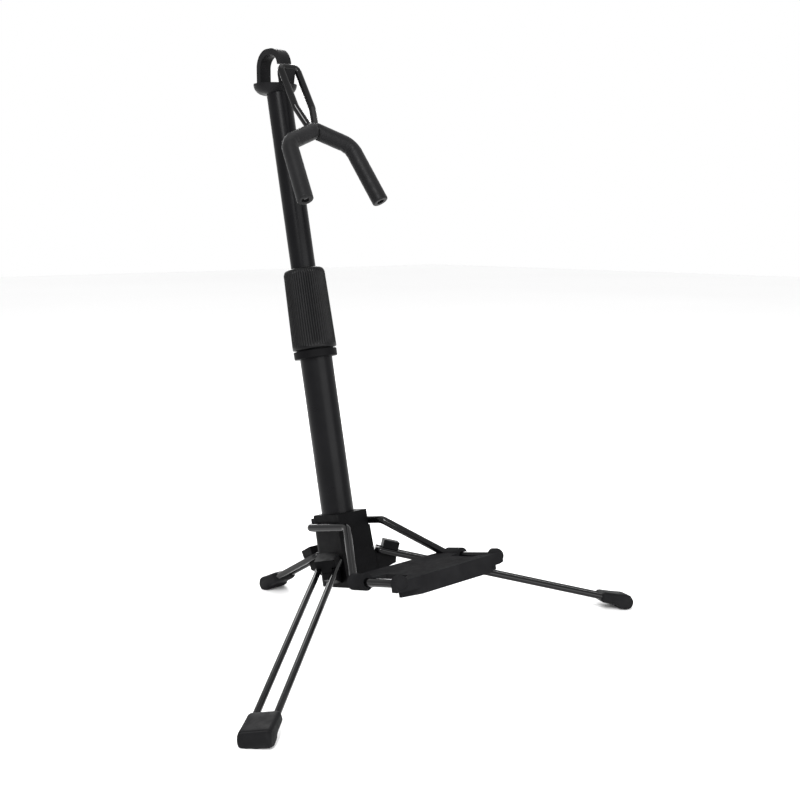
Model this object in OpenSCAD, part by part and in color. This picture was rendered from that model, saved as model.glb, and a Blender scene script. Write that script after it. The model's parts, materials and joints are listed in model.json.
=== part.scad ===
// Folding instrument stand: a leaning telescopic post on three folding wire legs,
// with a folding rest plate low at the front and a padded wire yoke hung from a head hook.
// Millimetres. X is across, -Y is the instrument's side, Z is up, the floor is Z = 0.

/* [Post] */
// Backward lean of the post from vertical, degrees
lean = 12; // [8:1:14]
// Outside diameter of the lower tube
low_d = 25; // [25:0.5:25.5]
// Outside diameter of the upper tube
up_d = 19; // [18:0.5:19.5]
// Wall of the lower tube
low_wall = 1.5; // [1:0.25:1.5]
// Wall of the upper tube
up_wall = 1.25; // [1:0.25:2]
// Height along the post of the upper tube's top end
up_top = 408; // [390:1:430]
// Height along the post of the upper tube's lower end
up_bottom = 112; // [100:1:120]

/* [Clutch] */
// Height along the post of the clutch ring's underside
clutch_h = 203; // [200:1:208]
// Length of the ribbed grip
grip_len = 62; // [58:1:70]
// Outside diameter of the grip at its lower end
grip_low_d = 34; // [34:0.5:38]
// Outside diameter of the grip at its upper end
grip_up_d = 31.5; // [31:0.5:34]

/* [Base] */
// Height along the post of the block's underside
block_h0 = 28; // [26:1:30]
// Height along the post of the block's top face
block_h1 = 83; // [82:1:86]
// Half width of the block below the rest frame
block_w = 15.5; // [15:0.25:16]
// Distance from post axis to the foot of the block's front face
block_front = 20; // [19.5:0.5:21]

/* [Legs] */
// Diameter of the leg wire
leg_d = 4.7; // [4.4:0.1:4.8]
// Distance between the two wires of a leg, centre to centre
leg_gap = 13.8; // [13.6:0.1:14]
// Turn of each front leg away from straight ahead, degrees
leg_turn = 55.1; // [54:0.1:57]
// Droop of the front legs from square to the post, degrees
front_droop = 20.7; // [20.4:0.1:21]
// Droop of the rear leg from square to the post, degrees
rear_droop = 17.9; // [17.6:0.1:18.2]
// Length of a front leg, pivot to toe centre
front_len = 201.5; // [200:0.5:203]
// Length of the rear leg, pivot to toe centre
rear_len = 78; // [77:1:80]

/* [Rest] */
// Diameter of the rest frame's wire
frame_d = 6; // [5.6:0.1:6]
// Half width of the rest frame beside the block
frame_in = 17.3; // [17.2:0.1:18]
// Half width of the rest frame inside the plate
frame_out = 47; // [44:0.5:50]
// Height along the post of the frame beside the block
frame_h = 74; // [73.5:0.5:74.5]
// Height along the post of the frame inside the plate
plate_h = 41; // [40:0.5:43]
// Distance from post axis to the plate's front edge
plate_front = 121; // [120:1:124]
// Distance from post axis to the plate's rear edge
plate_back = 58; // [56:1:62]

/* [Yoke] */
// Diameter of the yoke wire
yoke_d = 5.4; // [5:0.1:5.6]
// Half width of the yoke's hanging loop
loop_w = 7.9; // [7.9:0.1:9]
// Swing of the yoke forward of the post, degrees
yoke_swing = 20.8; // [18:0.1:24]
// Half width between the padded arms at their tips
arm_w = 35; // [33:0.5:38]
// Length from the loop's bar to the tips of the arms
arm_len = 120; // [112:1:128]
// Outside diameter of the foam sleeves
foam_d = 12.5; // [11.5:0.5:13]

/* [Head] */
// Radius of the head's dish
dish_r = 16.7; // [16:0.1:17]
// Width of the head's hook strap
hook_w = 10; // [8:0.5:12]
// Thickness of the head's hook strap
hook_t = 4.8; // [4:0.1:5.2]

/* [Hidden] */
$fn = 64;

black = [0.05, 0.05, 0.055];
rubber = [0.09, 0.09, 0.095];
plastic = [0.07, 0.07, 0.075];
foam = [0.08, 0.08, 0.085];
zinc = [0.45, 0.45, 0.47];

run = 0.05;              // running clearance on a radius
gap = 0.1;               // clearance between faces that only meet
swell = 0.04;            // swelling of a rod's diameter at the ends of its bends
leg_h = 50.3;            // height along the post of the leg pivots
leg_r = 26.5;            // distance from the post axis to the leg pivots
lug_turn = 60;           // turn of the front pivots from straight ahead
block_draft = 3.3;       // backward slope of the block's front face
frame_y = 16.6;          // distance behind the post axis of the frame's hinge
frame_bend = 4.5;        // bend radius of the frame's wire
hip = 67;                // distance in front of the post axis where the frame levels out
keeper_h = 64;           // height along the post of the keeper's screws
top_back = 12.8;         // distance from post axis to the back of the block's top part
centre_y = 12.49;        // moves the whole stand so that it is centred front to back
low_in = low_d / 2 - low_wall;
up_in = up_d / 2 - up_wall;
tube_foot = block_h0 + 9;
low_top = clutch_h + 11;
grip_h = clutch_h + 7;
// The head stands upright, so it is placed by its point on the leaning post
head_y = up_top * sin(lean) + 4.6;
head_z = up_top * cos(lean) + 7.5;
bar_y = head_y - 17.2;
bar_z = head_z + 11;
hook_top = 26.6;
hook_tip = 14.1;

// ---- placing ----

// Puts its children on the leaning post: Z runs up the post, -Y to the front
module on_post() {
    translate([0, centre_y, 0]) rotate([-lean, 0, 0]) children();
}

// Puts its children at a leg's pivot, -Y pointing square out from the post along the leg
module on_pivot(side) {
    place = side == 0 ? 180 : side * lug_turn;
    on_post() translate([leg_r * sin(place), -leg_r * cos(place), leg_h])
        rotate([0, 0, side == 0 ? 180 : side * leg_turn]) children();
}

// Puts its children on a leg: the origin is the pivot, -Y runs out along the wires.
// The side is -1 for the front left leg, 1 for the front right one and 0 for the rear one
module on_leg(side) {
    on_pivot(side) rotate([side == 0 ? rear_droop : front_droop, 0, 0]) children();
}

// Puts its children on the upright head: the origin is the middle of the dish's rim
module on_head() {
    translate([0, centre_y + head_y, head_z]) children();
}

// Puts its children in the yoke's plane: the origin is its bar, -Z runs down the yoke
module on_yoke() {
    translate([0, centre_y + bar_y, bar_z]) rotate([-lean - yoke_swing, 0, 0]) children();
}

// ---- shapes ----

function unit(v) = v / norm(v);

// A straight round rod from a to b
module rod(a, b, d) {
    v = b - a;
    translate(a) rotate([0, acos(v[2] / norm(v)), atan2(v[1], v[0])])
        cylinder(h = norm(v), d = d);
}

// The bend of a rod at b, between straights coming from a and going to c
module elbow(a, b, c, d, bend) {
    u = unit(b - a);
    v = unit(c - b);
    turn = acos(u * v);
    inward = unit(v - (v * u) * u);
    axis = cross(u, inward);
    o = b - u * bend * tan(turn / 2) + inward * bend;
    multmatrix([[-inward[0], u[0], axis[0], o[0]],
                [-inward[1], u[1], axis[1], o[1]],
                [-inward[2], u[2], axis[2], o[2]],
                [0, 0, 0, 1]])
        rotate_extrude(angle = turn) translate([bend, 0]) circle(d = d);
}

function cut_back(a, b, c, bend) = bend * tan(acos(unit(b - a) * unit(c - b)) / 2);

// A bent rod through the points p, with the same bend radius at each corner
module bent_rod(p, d, bend) {
    n = len(p) - 1;
    for (i = [0 : n - 1]) {
        u = unit(p[i + 1] - p[i]);
        t0 = i == 0 ? 0 : cut_back(p[i - 1], p[i], p[i + 1], bend);
        t1 = i == n - 1 ? 0 : cut_back(p[i], p[i + 1], p[i + 2], bend);
        rod(p[i] + u * t0, p[i + 1] - u * t1, d);
        // a hair-thin swelling where a straight runs into a bend
        if (i > 0) translate(p[i] + u * t0) sphere(d = d + swell);
        if (i < n - 1) translate(p[i + 1] - u * t1) sphere(d = d + swell);
    }
    for (i = [1 : n - 1]) elbow(p[i - 1], p[i], p[i + 1], d, bend);
}

// A rod with round knuckles at its corners, through the points p
module jointed_rod(p, d) {
    n = len(p) - 1;
    for (i = [0 : n - 1]) rod(p[i], p[i + 1], d);
    for (i = [1 : n - 1]) translate(p[i]) sphere(d = d + 2 * swell, $fn = 48);
}

// A round tube standing on Z
module pipe(h, d_out, d_in) {
    difference() {
        cylinder(h = h, d = d_out);
        translate([0, 0, -1]) cylinder(h = h + 2, d = d_in);
    }
}

// A countersunk or pan head screw, its head at Z = 0 and its shank going down
module screw(d, len, head_d, head_h) {
    difference() {
        union() {
            cylinder(h = head_h, d = head_d);
            translate([0, 0, -len]) cylinder(h = len + 0.5, d = d);
        }
        translate([-0.5 * head_d * 0.62, -0.6, head_h - 1.1]) cube([head_d * 0.62, 1.2, 2]);
        translate([-0.6, -0.5 * head_d * 0.62, head_h - 1.1]) cube([1.2, head_d * 0.62, 2]);
    }
}

// ---- base ----

// One leg's lug: a web between the leg's wires with a stop head over them
module lug(side) {
    web = leg_gap - leg_d - 0.8;
    difference() {
        union() {
            on_leg(side) {
                // stop head, square to the wires
                translate([-7.7, -15.2, leg_d / 2 + gap]) cube([15.4, 12.2, 6.1]);
                translate([-web / 2, -15, -3.4]) cube([web, 16.4, 6.2]);
            }
            // gusset from the web down to the block
            on_pivot(side) translate([-web / 2 + 0.05, 0, 0]) rotate([90, 0, 90])
                linear_extrude(web - 0.1)
                    polygon([[-13.6, -7.4], [-12.6, -12.2], [14.5, block_h0 + 1 - leg_h],
                             [14.5, 4.3], [1.5, 0.7]]);
        }
        // seat for the leg's cross wire, with the throat it snaps in through
        on_leg(side) {
            rotate([0, 90, 0]) cylinder(h = 14, d = leg_d + 2 * run, center = true);
            translate([-7, 0, -1.5]) cube([14, 4.4, 3]);
        }
    }
}

module base_block() {
    ledge = frame_h - frame_d / 2 - gap;
    color(plastic) difference() {
        union() {
            on_post() {
                // lower body with round back corners and a sloping front; its top is the
                // ledge that the rest frame lies on
                difference() {
                    translate([0, 0, block_h0]) linear_extrude(ledge - block_h0) union() {
                        translate([-block_w, -block_front]) square([2 * block_w, block_front + 8]);
                        for (s = [-1, 1]) translate([s * (block_w - 10), 8]) circle(r = 10);
                        translate([-block_w + 10, 0]) square([2 * block_w - 20, 18]);
                    }
                    translate([-40, -block_front, block_h0]) rotate([-block_draft, 0, 0])
                        translate([0, -20, -10]) cube([80, 20, 80]);
                }
                // narrower top part between the sides of the rest frame
                translate([-14.1, -block_front + 2.5, ledge - 1])
                    cube([28.2, block_front - 2.5 + top_back, block_h1 - ledge + 1]);
            }
            lug(-1);
            lug(1);
            lug(0);
        }
        on_post() {
            translate([0, 0, tube_foot]) cylinder(h = 80, d = low_d);
            translate([0, 0, 0]) cylinder(h = 60, d = 6.2);
            translate([0, 0, block_h0 - 1]) cylinder(h = 5, d = 12);
            // holes for the keeper's screws
            for (s = [-1, 1]) translate([s * 4, 15.2, keeper_h]) rotate([-90, 0, 0])
                cylinder(h = 20, d = 2);
        }
    }
}

module lower_tube() {
    color(black) on_post() translate([0, 0, tube_foot])
        pipe(low_top - tube_foot, low_d, 2 * low_in);
}

module tube_plug() {
    color(plastic) on_post() translate([0, 0, tube_foot + gap]) pipe(8, 2 * low_in, 5);
}

module base_screw() {
    color(zinc) on_post() translate([0, 0, block_h0 + 4]) rotate([180, 0, 0])
        screw(5, 13, 10.5, 3.4);
}

module hinge_keeper() {
    bottom = frame_h - frame_d / 2;
    color(plastic) on_post() difference() {
        union() {
            // saddle round the frame's cross wire, and the flange it is screwed on by
            translate([-10.5, top_back, frame_h - 1.5]) cube([21, 8.6, 7.4]);
            translate([-10.5, 18.05, bottom - 1.5]) cube([21, top_back + 8.6 - 18.05, 5]);
            translate([-7.5, 18.05, 58.5]) cube([15, 2.6, bottom - 59]);
        }
        translate([0, frame_y, frame_h]) rotate([0, 90, 0])
            cylinder(h = 60, d = frame_d + 2 * run, center = true);
        for (s = [-1, 1]) translate([s * 4, 10, keeper_h]) rotate([-90, 0, 0])
            cylinder(h = 30, d = 2);
    }
}

module keeper_screws() {
    color(zinc) on_post() for (s = [-1, 1])
        translate([s * 4, 20.65, keeper_h]) rotate([-90, 0, 0]) screw(2, 5, 3.6, 1.4);
}

// ---- clutch ----

module clutch_ring() {
    color(plastic) on_post() translate([0, 0, clutch_h]) difference() {
        cylinder(h = 6, d = 33.2);
        translate([0, 0, -1]) cylinder(h = 12, d = low_d);
    }
}

module clutch_sleeve() {
    color(plastic) on_post() translate([0, 0, clutch_h + 6]) difference() {
        cylinder(h = 24, d = 28.6);
        translate([0, 0, -1]) cylinder(h = 6.1, d = low_d);
        translate([0, 0, -1]) cylinder(h = 30, d = up_d + 0.6);
    }
}

module clutch_collet() {
    color(plastic) on_post() translate([0, 0, clutch_h + 30]) difference() {
        cylinder(h = 26, d1 = 27, d2 = 24.5);
        translate([0, 0, -1]) cylinder(h = 30, d = up_d + 2 * run);
        for (a = [0 : 60 : 120]) rotate([0, 0, a])
            translate([-20, -0.8, 6]) cube([40, 1.6, 30]);
    }
}

module clutch_grip() {
    color(plastic) on_post() translate([0, 0, grip_h]) difference() {
        union() {
            cylinder(h = grip_len - 3, d1 = grip_low_d, d2 = grip_up_d + 0.3);
            translate([0, 0, grip_len - 3]) cylinder(h = 3, d1 = grip_up_d + 0.3, d2 = grip_up_d - 5);
        }
        translate([0, 0, -1]) cylinder(h = 24.2, d = 28.6 + 2 * run);
        translate([0, 0, 23]) cylinder(h = 27, d1 = 27.3, d2 = 24.7);
        translate([0, 0, 40]) cylinder(h = 40, d = up_d + 0.6);
    }
}

// ---- upper tube ----

module guide_bushing() {
    color(plastic) on_post() translate([0, 0, up_bottom + gap])
        pipe(24, 2 * low_in - 2 * run, up_d + 2 * run);
}

module upper_tube() {
    color(black) on_post() translate([0, 0, up_bottom]) pipe(up_top - up_bottom, up_d, 2 * up_in);
}

module end_plug() {
    color(plastic) on_post() translate([0, 0, up_bottom]) {
        translate([0, 0, -2.5]) cylinder(h = 2.5, d = up_d + 1.8);
        cylinder(h = 12, d = 2 * up_in);
    }
}

module stop_ring() {
    color(zinc) on_post() translate([0, 0, up_bottom + 24.3]) pipe(2, up_d + 1.8, up_d);
}

// ---- head ----

module head_plug() {
    color(plastic) on_post() translate([0, 0, up_top - 24]) pipe(23.9, 2 * up_in, 3.4);
}

// Half of the hook's arch: a quarter round between the heights lo and lo + r
module quarter(at, lo, r, s) {
    intersection() {
        translate([at, lo]) circle(r = r);
        translate([s > 0 ? at : at - 40, lo]) square([40, 40]);
    }
}

// The hook's strap seen from the side, drawn in Y and Z
module hook_side() {
    back = dish_r + 0.4;
    front = -14.3;
    r = hook_top - hook_tip + 0.9;
    mid = hook_top - r;
    difference() {
        union() {
            quarter(back - r, mid, r, 1);
            quarter(front + r, mid, r, -1);
            translate([front + r, mid]) square([back - front - 2 * r, r]);
            translate([back - r, 1]) square([r, mid - 1]);
            // foot of the strap, running into the bowl
            polygon([[9, -6.8], [12.6, -6.8], [back, -0.6], [back, 1], [9, 1]]);
        }
        quarter(back - r, mid, r - hook_t, 1);
        quarter(front + r, mid, r - hook_t, -1);
        translate([front + r - 0.1, mid - 0.1]) square([back - front - 2 * r + 0.2, r - hook_t + 0.1]);
        translate([front + hook_t, 1]) square([back - front - 2 * hook_t, mid - 1 + 0.05]);
        translate([front - 1, 1]) square([hook_t + 2, hook_tip - 1]);
    }
}

module head_hook() {
    color(plastic) difference() {
        union() {
            on_head() {
                // shallow bowl with a level rim
                rotate_extrude() {
                    intersection() {
                        translate([dish_r - 8, 0]) circle(r = 8);
                        translate([dish_r - 8, -8]) square([8, 8]);
                    }
                    translate([0, -8]) square([dish_r - 8 + 0.01, 8]);
                }
                // hook strap
                rotate([90, 0, 90]) translate([0, 0, -hook_w / 2])
                    linear_extrude(hook_w) hook_side();
                // tongue that carries the yoke's bar in a groove, wider at its top
                difference() {
                    translate([0, -9.6, 0]) rotate([90, 0, 0]) linear_extrude(9.8)
                        polygon([[-3.4, -2], [3.4, -2], [4, 3], [4.7, 6.4], [4.7, 9.4],
                                 [-4.7, 9.4], [-4.7, 6.4], [-4, 3]]);
                    translate([0, bar_y - head_y, bar_z - head_z]) rotate([0, 90, 0])
                        cylinder(h = 20, d = yoke_d + 2 * run, center = true);
                    translate([-10, -25, -10]) rotate([40, 0, 0]) cube([20, 10, 12.5]);
                }
            }
        }
        // the tube's seat, and the screw's hole and recess
        on_post() translate([0, 0, up_top - 30]) cylinder(h = 30, d = up_d);
        on_post() translate([0, 0, up_top - 1]) cylinder(h = 10, d = 3.6);
        on_post() translate([0, 0, up_top + 3]) cylinder(h = 20, d = 7.8);
    }
}

module head_screw() {
    color(zinc) on_post() translate([0, 0, up_top + 3]) screw(3.4, 26, 7, 2.6);
}

// ---- yoke ----

// Corner points of one side of the yoke, from the middle of its bar to the tip
function side(s) = [[0, 0, 0], [s * loop_w, 0, 0], [s * loop_w, 1.2, -36], [s * 3.6, 1.2, -52],
                    [s * 3.6, 0, -59.2], [s * (arm_w - 5.5), 0, -70.2], [s * arm_w, 0, -arm_len + 6]];

module yoke_wire() {
    p = side(1);
    q = side(-1);
    color(black) on_yoke() for (s = [p, q]) for (i = [1 : 5]) union() {
        rod(s[i], s[i + 1], yoke_d);
        translate(s[i]) sphere(d = yoke_d + 2 * swell, $fn = 48);
    }
    color(black) on_yoke() rod(q[1], p[1], yoke_d);
}

// One arm's foam tube, open at its tip, met by the other one on the middle plane
module foam_sleeve(s) {
    arm = side(s);
    along = unit(arm[5] - arm[4]);
    down = unit(arm[6] - arm[5]);
    root = arm[4] - along * 6;
    tip = arm[6] + down * 6;
    color(foam) on_yoke() difference() {
        intersection() {
            bent_rod([root, arm[5], tip], foam_d, 12);
            translate([s * 50.2, 0, -90]) cube([100, 40, 90], center = true);
        }
        jointed_rod([root - along * 6, arm[5], tip + down * 6], yoke_d + 2 * gap);
        rod(arm[3], arm[4], yoke_d + 2 * gap);
        translate(arm[4]) sphere(d = yoke_d + 2 * gap + 0.1);
    }
}

module foam_sleeve_left() { foam_sleeve(-1); }
module foam_sleeve_right() { foam_sleeve(1); }

// ---- rest ----

module rest_frame() {
    knee = -30;
    color(black) on_post() jointed_rod([
        [frame_out, -plate_front + 7, plate_h],
        [frame_out, -hip, plate_h],
        [frame_in, knee, frame_h],
        [frame_in, frame_y, frame_h],
        [-frame_in, frame_y, frame_h],
        [-frame_in, knee, frame_h],
        [-frame_out, -hip, plate_h],
        [-frame_out, -plate_front + 7, plate_h]], frame_d);
}

// The front bar's outline, with its ends at the half width out and its corners cut
module nose(out, cut) {
    polygon([[out, -112], [out, -plate_front + cut], [out - 2 * cut, -plate_front],
             [-out + 2 * cut, -plate_front], [-out, -plate_front + cut], [-out, -112],
             [-41, -112], [-38, -plate_front + 6], [38, -plate_front + 6], [41, -112]]);
}

module rest_plate() {
    color(rubber) on_post() difference() {
        union() {
            // thin slab between the notches
            translate([0, 0, plate_h - 4.5]) linear_extrude(7) polygon([
                [-44, -plate_back], [44, -plate_back], [frame_out, -plate_back - 8],
                [frame_out, -80], [31.5, -84], [31.5, -107], [40, -112.5], [39, -plate_front + 1],
                [-39, -plate_front + 1], [-40, -112.5], [-31.5, -107], [-31.5, -84], [-frame_out, -80],
                [-frame_out, -plate_back - 8]]);
            // front bar, and the apron that hangs below it
            translate([0, 0, plate_h - 5.2]) linear_extrude(7.9) nose(frame_out + 5.2, 4);
            translate([0, 0, plate_h - 9.5]) linear_extrude(6) nose(frame_out - 0.5, 6.5);
            for (s = [-1, 1]) {
                // sleeves round the frame at the rear corners
                rod([s * frame_out, -plate_back - 8.5, plate_h], [s * frame_out, -81, plate_h], 11.6);
                // round lips over the frame's ends at the front corners
                rod([s * frame_out, -112.05, plate_h], [s * frame_out, -115.6, plate_h], 10.9);
                translate([s * frame_out, -115.6, plate_h]) sphere(d = 10.9 + 2 * swell);
            }
        }
        for (s = [-1, 1]) {
            rod([s * frame_out, -hip, plate_h],
                [s * frame_out, -plate_front + 6.9, plate_h], frame_d);
            jointed_rod([[s * frame_out, -hip - 12, plate_h], [s * frame_out, -hip, plate_h],
                         [s * frame_in, -30, frame_h]], frame_d + 0.6);
        }
    }
}

// ---- legs ----

module leg(side, length) {
    h = leg_gap / 2;
    color(black) on_leg(side) jointed_rod([
        [-h, -length + 6, 0], [-h, 0, 0], [h, 0, 0], [h, -length + 6, 0]], leg_d);
}

module front_left_leg() { leg(-1, front_len); }
module front_right_leg() { leg(1, front_len); }
module rear_leg() { leg(0, rear_len); }

// A rubber foot over the ends of a leg's wires, cut flat where it stands
module foot(side, length) {
    w = 21.4;
    color(rubber) difference() {
        intersection() {
            on_leg(side) translate([0, -length, 0]) {
                rotate([0, 90, 0]) cylinder(h = w, r = 6, center = true);
                translate([-w / 2, 0, -4.2]) cube([w, 20.5, 8.4]);
                translate([-w / 2, 0, -6]) cube([w, 6, 12]);
            }
            translate([-300, -300, 0]) cube([600, 600, 300]);
        }
        on_leg(side) for (s = [-1, 1])
            rod([s * leg_gap / 2, -length + 40, 0], [s * leg_gap / 2, -length + 6, 0], leg_d);
    }
}

module front_left_foot() { foot(-1, front_len); }
module front_right_foot() { foot(1, front_len); }
module rear_foot() { foot(0, rear_len); }

base_block();
lower_tube();
tube_plug();
base_screw();
hinge_keeper();
keeper_screws();
clutch_ring();
clutch_sleeve();
clutch_collet();
clutch_grip();
guide_bushing();
upper_tube();
end_plug();
stop_ring();
head_plug();
head_hook();
head_screw();
yoke_wire();
foam_sleeve_left();
foam_sleeve_right();
rest_frame();
rest_plate();
front_left_leg();
front_right_leg();
rear_leg();
front_left_foot();
front_right_foot();
rear_foot();
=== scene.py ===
"""Folding instrument stand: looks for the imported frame. Metres, Z up, -Y is the instrument's side.

Shapes are drawn in millimetres in the axes of the post, the yoke and each leg, and the frame's
joints say where those axes stand.
"""
import json
import math

import bmesh
import bpy
from mathutils import Matrix, Vector


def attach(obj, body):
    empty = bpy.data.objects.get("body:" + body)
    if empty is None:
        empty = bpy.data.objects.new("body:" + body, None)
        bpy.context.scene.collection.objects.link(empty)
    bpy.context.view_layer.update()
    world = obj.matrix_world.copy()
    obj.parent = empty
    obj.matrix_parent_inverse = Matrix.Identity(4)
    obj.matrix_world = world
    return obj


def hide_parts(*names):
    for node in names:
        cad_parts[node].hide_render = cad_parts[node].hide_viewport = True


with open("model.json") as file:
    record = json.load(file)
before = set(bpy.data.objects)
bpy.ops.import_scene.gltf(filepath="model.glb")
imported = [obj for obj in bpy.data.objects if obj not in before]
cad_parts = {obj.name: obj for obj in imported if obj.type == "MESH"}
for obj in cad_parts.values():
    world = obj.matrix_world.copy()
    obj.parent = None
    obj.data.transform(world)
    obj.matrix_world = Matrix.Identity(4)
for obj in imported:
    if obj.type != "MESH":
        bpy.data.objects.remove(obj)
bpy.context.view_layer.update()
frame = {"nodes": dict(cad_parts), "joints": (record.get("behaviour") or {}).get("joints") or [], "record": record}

JOINT = {j["name"]: j for j in frame["joints"]}
NODE = frame["nodes"]
SLOT = {s["node"]: s["material_slot"] for s in frame["record"]["subparts"]}
BODY = {n: b for b, ns in frame["record"]["behaviour"]["bodies"].items() for n in ns}

# ---- driving sizes, in millimetres and degrees ----

MM = 0.001
LEAN = 12                          # the post, back from upright
YOKE_SWING = 20.8                  # the yoke, forward from the post
LEG_TURN = 55.1                    # a front leg, sideways from straight ahead
FRONT_DROOP, REAR_DROOP = 20.7, 17.9
FRONT_LEG, REAR_LEG = 201.5, 78.0  # from a leg's cross wire to the middle of its toe
LEG_WIRE, LEG_GAP = 4.7, 13.8
TOE_R = 6.0
YOKE_WIRE = 5.4
REST_WIRE = 6.0
CROSS_BACK, CROSS_HIGH = 16.6, 74  # the rest frame's cross wire, from the post's foot
CROSS_HALF = 17.3
PLATE_HIGH, PLATE_HALF = 41, 47    # the wires that the plate sits on
FOAM_R = 6.15
GRIP_FOOT = 210.0                  # up the post


def at(name):
    return Vector(JOINT[name]["pos_m"])


def turned(deg, axis):
    return Matrix.Rotation(math.radians(deg), 4, axis)


def leg_matrix(joint, turn, droop):
    spot = Matrix.Translation(at(joint)) @ turned(-LEAN, "X") @ turned(turn, "Z")
    return spot @ turned(droop, "X") @ Matrix.Scale(MM, 4)


TILT = math.radians(LEAN)
POST_Y = at("rest_fold").y - MM * (CROSS_BACK * math.cos(TILT) + CROSS_HIGH * math.sin(TILT))
POST = Matrix.Translation((0, POST_Y, 0)) @ turned(-LEAN, "X") @ Matrix.Scale(MM, 4)
YOKE = Matrix.Translation(at("yoke_swing")) @ turned(-LEAN - YOKE_SWING, "X") @ Matrix.Scale(MM, 4)
LEGS = {
    "front_left": (leg_matrix("front_left_fold", -LEG_TURN, FRONT_DROOP), FRONT_LEG),
    "front_right": (leg_matrix("front_right_fold", LEG_TURN, FRONT_DROOP), FRONT_LEG),
    "rear": (leg_matrix("rear_fold", 180, REAR_DROOP), REAR_LEG),
}

# ---- materials ----


class Graph:
    """Short names for making a material's nodes."""

    def __init__(self, name):
        self.mat = bpy.data.materials.new(name)
        self.mat.use_nodes = True
        self.tree = self.mat.node_tree
        self.tree.nodes.clear()
        self.out = self.tree.nodes.new("ShaderNodeOutputMaterial")
        self.bsdf = self.tree.nodes.new("ShaderNodeBsdfPrincipled")
        self.tree.links.new(self.bsdf.outputs[0], self.out.inputs[0])
        self.where = self.tree.nodes.new("ShaderNodeTexCoord").outputs["Object"]

    def node(self, kind, **values):
        n = self.tree.nodes.new(kind)
        for key, value in values.items():
            n.inputs[key].default_value = value
        return n

    def link(self, a, b):
        self.tree.links.new(a, b)

    def noise(self, scale, detail=2.0, rough=0.5, stretch=None):
        n = self.node("ShaderNodeTexNoise", Scale=scale, Detail=detail, Roughness=rough)
        src = self.where
        if stretch:
            m = self.node("ShaderNodeMapping", Scale=stretch)
            self.link(src, m.inputs["Vector"])
            src = m.outputs["Vector"]
        self.link(src, n.inputs["Vector"])
        return n.outputs["Fac"]

    def cells(self, scale):
        n = self.node("ShaderNodeTexVoronoi", Scale=scale)
        self.link(self.where, n.inputs["Vector"])
        return n.outputs["Distance"]

    def ramp(self, fac, a, b, lo=0.3, hi=0.7):
        """A number that goes from a to b as fac goes from lo to hi."""
        n = self.node("ShaderNodeMapRange")
        self.link(fac, n.inputs["Value"])
        for key, v in zip(("From Min", "From Max", "To Min", "To Max"), (lo, hi, a, b)):
            n.inputs[key].default_value = v
        return n.outputs["Result"]

    def tint(self, fac, a, b, lo=0.3, hi=0.7):
        """A colour that goes from a to b as fac goes from lo to hi."""
        n = self.node("ShaderNodeValToRGB")
        for stop, place, colour in zip(n.color_ramp.elements, (lo, hi), (a, b)):
            stop.position = place
            stop.color = (*colour, 1)
        self.link(fac, n.inputs["Fac"])
        return n.outputs["Color"]

    def bump(self, height, strength, distance, after=None):
        n = self.node("ShaderNodeBump", Strength=strength, Distance=distance)
        self.link(height, n.inputs["Height"])
        if after:
            self.link(after, n.inputs["Normal"])
        return n.outputs["Normal"]

    def done(self, colour, rough, normal=None, **sockets):
        self.link(colour, self.bsdf.inputs["Base Color"])
        self.link(rough, self.bsdf.inputs["Roughness"])
        if normal:
            self.link(normal, self.bsdf.inputs["Normal"])
        for key, value in sockets.items():
            self.bsdf.inputs[key.replace("_", " ")].default_value = value
        return self.mat


def powder_coat():
    """The tubes' paint: satin black with a faint orange peel."""
    g = Graph("tube_paint")
    peel = g.noise(900, 2)
    colour = g.tint(g.noise(26, 3), (0.0022, 0.0022, 0.0026), (0.0042, 0.0042, 0.0048))
    rough = g.ramp(g.noise(60, 4), 0.27, 0.36)
    return g.done(colour, rough, g.bump(peel, 0.16, 0.00012), Specular_IOR_Level=0.085)


def enamel():
    """The wires' paint: glossy black, very slightly sagged."""
    g = Graph("wire_paint")
    sag = g.noise(140, 2)
    colour = g.tint(g.noise(40, 3), (0.0012, 0.0012, 0.0014), (0.0024, 0.0024, 0.0027))
    rough = g.ramp(g.noise(300, 3), 0.06, 0.1)
    return g.done(colour, rough, g.bump(sag, 0.06, 0.0002), Specular_IOR_Level=0.22)


def moulding(name, dark, light, rough, shine, grain=1500, depth=0.00012, strength=0.35):
    """Moulded black plastic or rubber: mottled, grained and a little uneven."""
    g = Graph(name)
    fine = g.noise(grain, 3, 0.6)
    colour = g.tint(g.noise(70, 4), dark, light)
    roughness = g.ramp(g.noise(220, 4), *rough)
    normal = g.bump(fine, strength, depth)
    normal = g.bump(g.noise(60, 2), 0.12, 0.0004, normal)
    return g.done(colour, roughness, normal, Specular_IOR_Level=shine)


def rubber(name, dark, light, rough, shine):
    """A moulding with rubber's coarser grain."""
    return moulding(name, dark, light, rough, shine, grain=1100, depth=0.0002, strength=0.4)


def zinc_plate():
    """Bright zinc with a brushed grain."""
    g = Graph("zinc")
    brushed = g.noise(700, 3, stretch=(1, 1, 0.08))
    colour = g.tint(brushed, (0.42, 0.43, 0.45), (0.62, 0.62, 0.63))
    rough = g.ramp(brushed, 0.22, 0.38)
    return g.done(colour, rough, g.bump(brushed, 0.15, 0.0001), Metallic=1.0)


def foam_skin():
    """The sleeves' foam: fine pores under a soft skin."""
    g = Graph("foam")
    pores = g.cells(1100)
    soft = g.noise(380, 4, 0.6)
    colour = g.tint(g.noise(50, 4), (0.0034, 0.0034, 0.0038), (0.006, 0.0059, 0.0065))
    rough = g.ramp(soft, 0.4, 0.54)
    normal = g.bump(pores, 0.18, 0.0002)
    normal = g.bump(soft, 0.3, 0.0003, normal)
    return g.done(colour, rough, normal, Sheen_Weight=0.03, Sheen_Roughness=0.5, Specular_IOR_Level=0.11)


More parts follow.
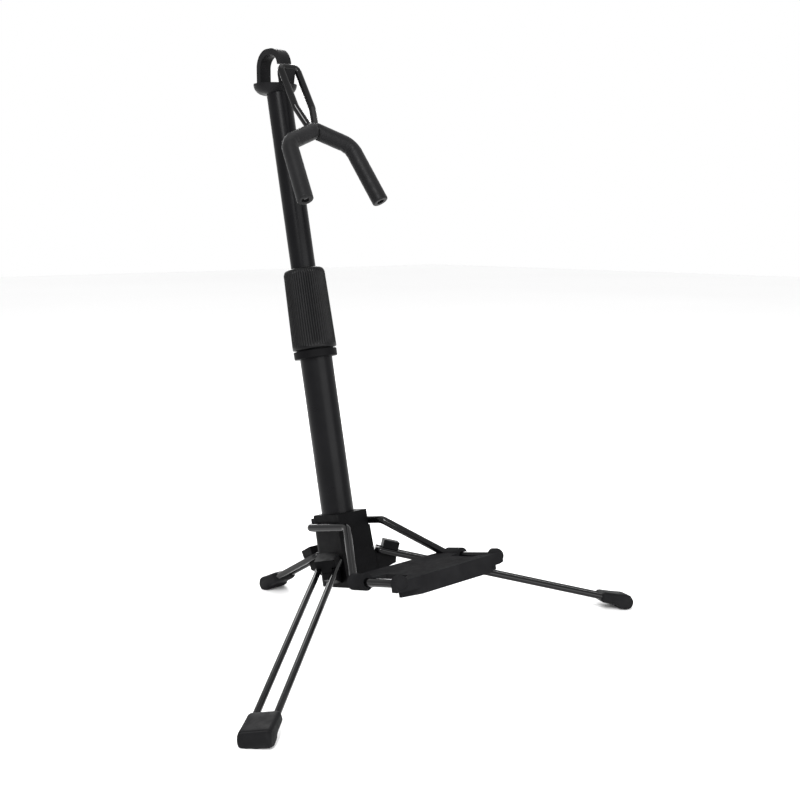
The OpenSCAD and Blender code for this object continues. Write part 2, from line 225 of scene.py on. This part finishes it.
MAT = {
    "tube_paint": powder_coat(),
    "wire_paint": enamel(),
    "moulded_black": moulding(
        "moulded_black", (0.0014, 0.0014, 0.0016), (0.003, 0.003, 0.0034), (0.42, 0.56), 0.05),
    "grip_plastic": moulding(
        "grip_plastic", (0.0012, 0.0012, 0.0014), (0.0026, 0.0026, 0.003), (0.34, 0.44), 0.13,
        depth=0.0001, strength=0.1),
    "head_plastic": moulding(
        "head_plastic", (0.003, 0.003, 0.0034), (0.006, 0.006, 0.0066), (0.36, 0.5), 0.085),
    "plate_rubber": rubber(
        "plate_rubber", (0.0075, 0.0075, 0.0081), (0.0115, 0.0115, 0.0122), (0.66, 0.82), 0.006),
    "foot_rubber": rubber(
        "foot_rubber", (0.0042, 0.0042, 0.0046), (0.0075, 0.0075, 0.0081), (0.5, 0.64), 0.05),
    "zinc": zinc_plate(),
    "foam": foam_skin(),
}


def paint(obj, slot):
    obj.data.materials.clear()
    obj.data.materials.append(MAT[slot])


# ---- mesh helpers ----


def add(name, bm, slot, body, node, sharp=34):
    """A piece from a bmesh, painted, on its body, standing for its CAD node."""
    bmesh.ops.recalc_face_normals(bm, faces=bm.faces)
    mesh = bpy.data.meshes.new(name)
    bm.to_mesh(mesh)
    bm.free()
    if "custom_normal" in mesh.attributes:
        mesh.attributes.remove(mesh.attributes["custom_normal"])
    mesh.shade_smooth()
    mesh.set_sharp_from_angle(angle=math.radians(sharp))
    obj = bpy.data.objects.new(name, mesh)
    bpy.context.scene.collection.objects.link(obj)
    paint(obj, slot)
    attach(obj, body)
    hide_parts(node)
    return obj


def refine(node, width, segments):
    """A copy of a CAD node with its edges rounded by width millimetres, which stands for it."""
    bm = bmesh.new()
    bm.from_mesh(NODE[node].data)
    bmesh.ops.remove_doubles(bm, verts=bm.verts, dist=2e-6)
    bmesh.ops.dissolve_limit(bm, angle_limit=math.radians(0.6), verts=bm.verts, edges=bm.edges)
    obj = add(node + "_finish", bm, SLOT[node], BODY[node], node)
    b = obj.modifiers.new("round", "BEVEL")
    b.width, b.segments, b.limit_method = width * MM, segments, "ANGLE"
    b.angle_limit = math.radians(38)
    b.harden_normals = False
    return obj


def skin(bm, rings):
    """Quads between each ring of points and the next."""
    for a, b in zip(rings, rings[1:]):
        n = len(a)
        for k in range(n):
            bm.faces.new((a[k], a[(k + 1) % n], b[(k + 1) % n], b[k]))


def filleted(points, radius, steps=10):
    """The points of a path with each corner rounded."""
    pts = [Vector(p) for p in points]
    out = [pts[0]]
    for i in range(1, len(pts) - 1):
        a, b, c = pts[i - 1], pts[i], pts[i + 1]
        r = radius[i] if isinstance(radius, dict) else radius
        u, v = (b - a).normalized(), (c - b).normalized()
        turn = u.angle(v)
        if turn < 0.01:
            out.append(b)
            continue
        cut = min(r * math.tan(turn / 2), 0.49 * (b - a).length, 0.49 * (c - b).length)
        r = cut / math.tan(turn / 2)
        inward = (v - u * v.dot(u)).normalized()
        centre = b - u * cut + inward * r
        for k in range(steps + 1):
            t = turn * k / steps
            out.append(centre - inward * r * math.cos(t) + u * r * math.sin(t))
    out.append(pts[-1])
    return out


def dense(path, step):
    """The path with its long straights cut up."""
    out = [path[0]]
    for a, b in zip(path, path[1:]):
        n = max(1, int((b - a).length / step))
        out += [a.lerp(b, (k + 1) / n) for k in range(n)]
    return out


def rounded_end(r, back, both=True):
    """Radius along a rod of radius r, rounded over back at both ends or only at the last one."""
    def f(d, total):
        e = min(d, total - d) if both else total - d
        return r if e >= back else r - back + math.sqrt(max(back * back - (back - e) ** 2, 0))
    return f


def sweep(bm, path, radius, sides):
    """Rings of points round a path, joined by faces. The radius depends on the distance along."""
    dist = [0.0]
    for a, b in zip(path, path[1:]):
        dist.append(dist[-1] + (b - a).length)
    rings, up = [], None
    for i, p in enumerate(path):
        t = (path[min(i + 1, len(path) - 1)] - path[max(i - 1, 0)]).normalized()
        up = t.orthogonal() if up is None else up - t * up.dot(t)
        up.normalize()
        side = t.cross(up)
        r = radius(dist[i], dist[-1])
        turns = [2 * math.pi * k / sides for k in range(sides)]
        rings.append([bm.verts.new(p + (up * math.cos(w) + side * math.sin(w)) * r) for w in turns])
    skin(bm, rings)
    return rings


def lathe(bm, rings, sides):
    """Faces round the Z axis through (r, z) or (r, z, function of angle) rings."""
    made = []
    for r, z, *ripple in rings:
        row = []
        for k in range(sides):
            w = 2 * math.pi * k / sides
            q = r + (ripple[0](w) if ripple else 0)
            row.append(bm.verts.new((q * math.cos(w), q * math.sin(w), z)))
        made.append(row)
    skin(bm, made)


# ---- wires ----

WIRE_END = 0.8                     # rounding of a wire's cut ends


def end_steps(path):
    """The path with extra points close to both ends, for the rounded ends."""
    a, b = (path[1] - path[0]).normalized(), (path[-1] - path[-2]).normalized()
    steps = (0.08, 0.3, 0.6, 1.0)
    head = [path[0] + a * WIRE_END * k for k in steps]
    tail = [path[-1] - b * WIRE_END * k for k in reversed(steps)]
    return [path[0], *head, *path[1:-1], *tail, path[-1]]


def wire(name, points, bend, d, matrix, body, node):
    """A bent round wire of diameter d in place of a CAD node."""
    bm = bmesh.new()
    path = end_steps(dense(filleted(points, bend, 14), 12))
    rings = sweep(bm, path, rounded_end(d / 2, WIRE_END), 28)
    bm.faces.new(rings[0])
    bm.faces.new(rings[-1])
    bmesh.ops.transform(bm, matrix=matrix, verts=bm.verts)
    return add(name, bm, "wire_paint", body, node, sharp=50)


def leg_wires():
    half, bend = LEG_GAP / 2, 2.9
    for leg, (matrix, length) in LEGS.items():
        end = TOE_R - length
        points = [(-half, end, 0), (-half, 0, 0), (half, 0, 0), (half, end, 0)]
        wire(leg + "_leg_wire", points, bend, LEG_WIRE, matrix, leg, leg + "_leg")


def rest_wire():
    """From one tip under the plate, up and back to the cross wire, and down to the other tip."""
    tip_y, hip_y, knee_y = -114, -67, -30
    open_bend, cross_bend = 7, 4.5
    half = [(PLATE_HALF, tip_y, PLATE_HIGH), (PLATE_HALF, hip_y, PLATE_HIGH),
            (CROSS_HALF, knee_y, CROSS_HIGH), (CROSS_HALF, CROSS_BACK, CROSS_HIGH)]
    other = [(-x, y, z) for x, y, z in reversed(half)]
    bends = {1: open_bend, 2: open_bend, 3: cross_bend, 4: cross_bend, 5: open_bend, 6: open_bend}
    wire("rest_frame_wire", half + other, bends, REST_WIRE, POST, "rest", "rest_frame")


# One side of the yoke: bar, shoulder, two points of the neck, elbow and tip
ARM = [(7.9, 0, 0), (7.9, 1.2, -36), (3.6, 1.2, -52), (3.6, 0, -59.2), (29.5, 0, -70.2), (35, 0, -114)]
ARM_BENDS = [3.6, 10, 7, 4, 12]


def yoke_wire():
    """Its two tips stop 4.9 mm past the elbows, inside the foam."""
    elbow = Vector(ARM[5])
    past = (elbow - Vector(ARM[4])).normalized() * 4.9
    right = [Vector(p) for p in ARM[:5]] + [elbow + past]
    left = [Vector((-p.x, p.y, p.z)) for p in right]
    bends = {}
    for k, r in enumerate(ARM_BENDS):
        bends[5 - k] = bends[6 + k] = r
    wire("yoke_wire_smooth", left[::-1] + right, bends, YOKE_WIRE, YOKE, "yoke", "yoke_wire")


leg_wires()
rest_wire()
yoke_wire()

# ---- foam sleeves ----


def pucker(rings, path, elbow, along, down, wave):
    """Creases on the inside of the bend, and slight lumps all over."""
    inside = (-along + down).normalized()
    heart = elbow + inside * 5
    course = (along + down).normalized()
    for ring, p in zip(rings, path):
        for v in ring:
            out = (v.co - p).normalized()
            facing = max(out.dot(inside), 0) ** 2
            t = (v.co - heart).dot(course)
            for place, deep in ((-3.4, 0.45), (0.4, 0.8), (4.0, 0.5)):
                v.co -= out * deep * facing * math.exp(-((t - place) / 0.75) ** 2)
            v.co += out * 0.07 * math.sin(v.co.z * 0.9 + wave) * math.sin(v.co.x * 1.1 + 2 * v.co.y)


def meet(bm, s):
    """A soft edge where the two sleeves meet, either side of the middle plane."""
    gap, reach, soft = 0.22, 2.2, 1.1
    for v in bm.verts:
        x = v.co.x * s
        if x < reach:
            v.co.x = s * (gap + max(x - gap, 0.0) * 0.55)
            out = Vector((0, v.co.y, v.co.z + 58.0)).normalized()
            v.co -= out * soft * min((reach - x) / 1.6, 1.0) ** 1.5


def sleeve(s, name, node):
    """A foam tube with a soft, open tip, puckered on the inside of its bend."""
    root, elbow, end = (Vector((s * x, y, z)) for x, y, z in ARM[3:])
    along, down = (elbow - root).normalized(), (end - elbow).normalized()
    tip = end + down * 6
    lip, hole_r, hole_deep, sides = 1.0, 2.85, 5.0, 48
    path = dense(filleted([root - along * 4.6, elbow, tip], 12, 22), 1.6)
    path = path[:-1] + [tip - down * k for k in (lip, 0.55, 0.25, 0.08)] + [tip]
    bm = bmesh.new()
    rings = sweep(bm, path, rounded_end(FOAM_R, lip, both=False), sides)
    hole = [[bm.verts.new(tip + (v.co - tip).normalized() * hole_r - down * k) for v in rings[-1]]
            for k in (0.1, 0.5, hole_deep)]
    skin(bm, [rings[-1], *hole])
    bm.faces.new(hole[-1])
    bm.faces.new(rings[0])
    pucker(rings, path, elbow, along, down, s)
    meet(bm, s)
    bmesh.ops.transform(bm, matrix=YOKE, verts=bm.verts)
    add(name, bm, "foam", "yoke", node, sharp=60)


sleeve(-1, "foam_left", "foam_sleeve_left")
sleeve(1, "foam_right", "foam_sleeve_right")

# ---- grip ----


def grip():
    """A tapered grip with straight ribs that die out in its shoulder, and its stepped bore."""
    ribs, deep = 52, 0.55
    low_d, high_d, straight, tall = 34, 31.8, 59, 62.0
    bore, throat = 14.35, 9.8

    def groove(depth):
        return lambda w: -depth * (0.5 + 0.5 * math.cos(ribs * w)) ** 1.6

    def radius(h):
        return (low_d + (high_d - low_d) * h / straight) / 2

    rows = [(bore, 0.0), (radius(0) - 0.7, 0.0), (radius(0) - 0.15, 0.35), (radius(1.2), 1.0)]
    rows += [(radius(2.2), 2.0), (radius(2.6), 2.6, groove(0.25)), (radius(3.2), 3.2, groove(0.5))]
    rows += [(radius(h), h, groove(deep)) for h in range(6, 55, 4)]
    rows += [(radius(56), 55.6, groove(deep)), (radius(56.6), 56.6, groove(deep)),
             (radius(57.4), 57.4, groove(0.5)), (radius(58.4), 58.4, groove(0.45))]
    rows += [(15.6, 59.2, groove(0.4)), (15.35, 60.0, groove(0.3)), (14.9, 60.7, groove(0.16)),
             (14.3, 61.3, groove(0.05)), (13.5, 61.75), (12.6, tall), (10.2, tall)]
    rows += [(throat + 0.02, 61.6), (throat, 50.05), (12.35, 50.0), (13.65, 23.0), (bore, 22.95),
             (bore, 0.0)]
    bm = bmesh.new()
    lathe(bm, [(r, z + GRIP_FOOT, *ripple) for r, z, *ripple in rows], ribs * 6)
    bmesh.ops.remove_doubles(bm, verts=bm.verts, dist=1e-4)
    bmesh.ops.transform(bm, matrix=POST, verts=bm.verts)
    add("grip_ribbed", bm, "grip_plastic", "grip", "clutch_grip", sharp=50)


grip()

# ---- feet ----


def foot_side():
    """A foot's outline from the side, (along, up) from the toe's middle: top, toe, sole, body."""
    crease = [(0.4, 5.78), (-0.5, 5.74), (-0.8, 5.45), (-1.1, 5.66)]
    bevel = [(-2.1, 5.45), (-3.0, 5.0), (-4.4, 3.5), (-5.3, 2.4), (-5.85, 1.3)]
    turns = [math.radians(180 + 90 * k / 7) for k in range(8)]
    toe = [(TOE_R * math.cos(w), TOE_R * math.sin(w)) for w in turns]
    sole = [(2.5, -6.0), (5.0, -5.75), (6.2, -4.6), (8, -4.2), (13, -4.2), (18, -4.1)]
    heel = [(19.7, -3.5), (20.5, -2.1), (20.5, 2.1), (19.7, 3.5), (18, 4.1)]
    top = [(13, 4.45), (8.2, 4.85), (4.8, 5.25), (2.5, 5.55)]
    return crease + bevel + toe + sole + heel + top


def foot(leg, matrix, length):
    """A moulded foot: flat on top down to a bevelled toe, with rounded edges all round."""
    half = 10.7
    flank = [(-half, 2.6), (-half + 0.25, 1.6), (-half + 0.8, 0.8), (-half + 1.6, 0.28), (-half + 2.6, 0.0)]
    stations = flank + [(x, 0.0) for x in (-5.4, -2.7, 0, 2.7, 5.4)]
    stations += [(-x, shrink) for x, shrink in reversed(flank)]
    bm = bmesh.new()
    rows = []
    for x, shrink in stations:
        row = []
        for y, z in foot_side():
            w = Vector((y, z))
            toward = Vector((min(max(y, 0.0), 17.5), 0)) - w
            w += toward.normalized() * shrink * 0.95
            row.append(bm.verts.new((x, w.x - length, w.y)))
        rows.append(row)
    skin(bm, rows)
    bm.faces.new(rows[0])
    bm.faces.new(rows[-1])
    bmesh.ops.transform(bm, matrix=matrix, verts=bm.verts)
    for v in bm.verts:
        v.co.z = max(v.co.z, 0.0)
    add(leg + "_foot_moulded", bm, "foot_rubber", leg, leg + "_foot", sharp=48)


for leg, (matrix, length) in LEGS.items():
    foot(leg, matrix, length)

# ---- CAD nodes: rounded copies of the seen ones, and paint on the rest ----

MOULDED_EDGES = {"base_block": 0.7, "hinge_keeper": 0.4, "clutch_ring": 0.6, "head_hook": 0.8,
                 "rest_plate": 0.9}
SCREW_EDGES = {"base_screw": 0.2, "keeper_screws": 0.12, "head_screw": 0.2}

for node, width in MOULDED_EDGES.items():
    refine(node, width, 3)
for node, width in SCREW_EDGES.items():
    refine(node, width, 2)
for node, obj in NODE.items():
    if not obj.hide_render:
        paint(obj, SLOT[node])

# ---- floor, light and camera, in metres ----

LIGHTS = {                         # place, point aimed at, width and height, watts
    "key": ((-1.35, -0.95, 1.55), (0, 0, 0.25), (0.6, 0.9), 40),
    "fill": ((-0.1, -1.65, 0.6), (0, 0, 0.2), (1.6, 0.9), 18),
    "top": ((0, 0.2, 2.0), (0, 0, 0), (1.6, 1.6), 8),
    "rim": ((0.7, 1.2, 0.9), (0, 0, 0.2), (0.6, 1.0), 14),
}
EYE = Vector((-0.52395, -0.62003 + POST_Y, 0.29726))
YAW, PITCH, ROLL = 42.744, 8.874, 0.08
SENSOR, FOCAL = 36.0, 49.4982


def floor():
    bm = bmesh.new()
    bmesh.ops.create_grid(bm, x_segments=2, y_segments=2, size=6)
    mesh = bpy.data.meshes.new("floor")
    bm.to_mesh(mesh)
    bm.free()
    obj = bpy.data.objects.new("floor", mesh)
    bpy.context.scene.collection.objects.link(obj)
    obj.location = (0, 0, -0.0002)
    g = Graph("floor_white")
    colour = g.tint(g.noise(0.7, 2), (0.93, 0.93, 0.93), (0.95, 0.95, 0.95))
    rough = g.ramp(g.noise(3, 2), 0.6, 0.7)
    obj.data.materials.append(g.done(colour, rough))


def area(name, spot, aim, size, power):
    light = bpy.data.lights.new(name, "AREA")
    light.shape = "RECTANGLE"
    light.size, light.size_y = size
    light.energy = power
    obj = bpy.data.objects.new(name, light)
    bpy.context.scene.collection.objects.link(obj)
    obj.location = spot
    obj.rotation_euler = (Vector(aim) - Vector(spot)).to_track_quat("-Z", "Y").to_euler()


def studio():
    for name, light in LIGHTS.items():
        area(name, *light)
    world = bpy.data.worlds.new("studio")
    world.use_nodes = True
    sky = world.node_tree.nodes["Background"].inputs
    sky["Color"].default_value = (1, 1, 1, 1)
    sky["Strength"].default_value = 1.0
    bpy.context.scene.world = world
    bpy.context.scene.view_settings.view_transform = "Standard"


def camera():
    yaw, pitch, roll = (math.radians(a) for a in (YAW, PITCH, ROLL))
    ahead = Vector((math.sin(yaw) * math.cos(pitch), math.cos(yaw) * math.cos(pitch), -math.sin(pitch)))
    data = bpy.data.cameras.new("camera")
    data.sensor_width, data.lens = SENSOR, FOCAL
    data.clip_start, data.clip_end = 0.05, 30
    obj = bpy.data.objects.new("camera", data)
    bpy.context.scene.collection.objects.link(obj)
    obj.location = EYE
    obj.rotation_mode = "QUATERNION"
    level = ahead.to_track_quat("-Z", "Y")
    obj.rotation_quaternion = level @ Matrix.Rotation(roll, 4, "Z").to_quaternion()
    bpy.context.scene.camera = obj


floor()
studio()
camera()
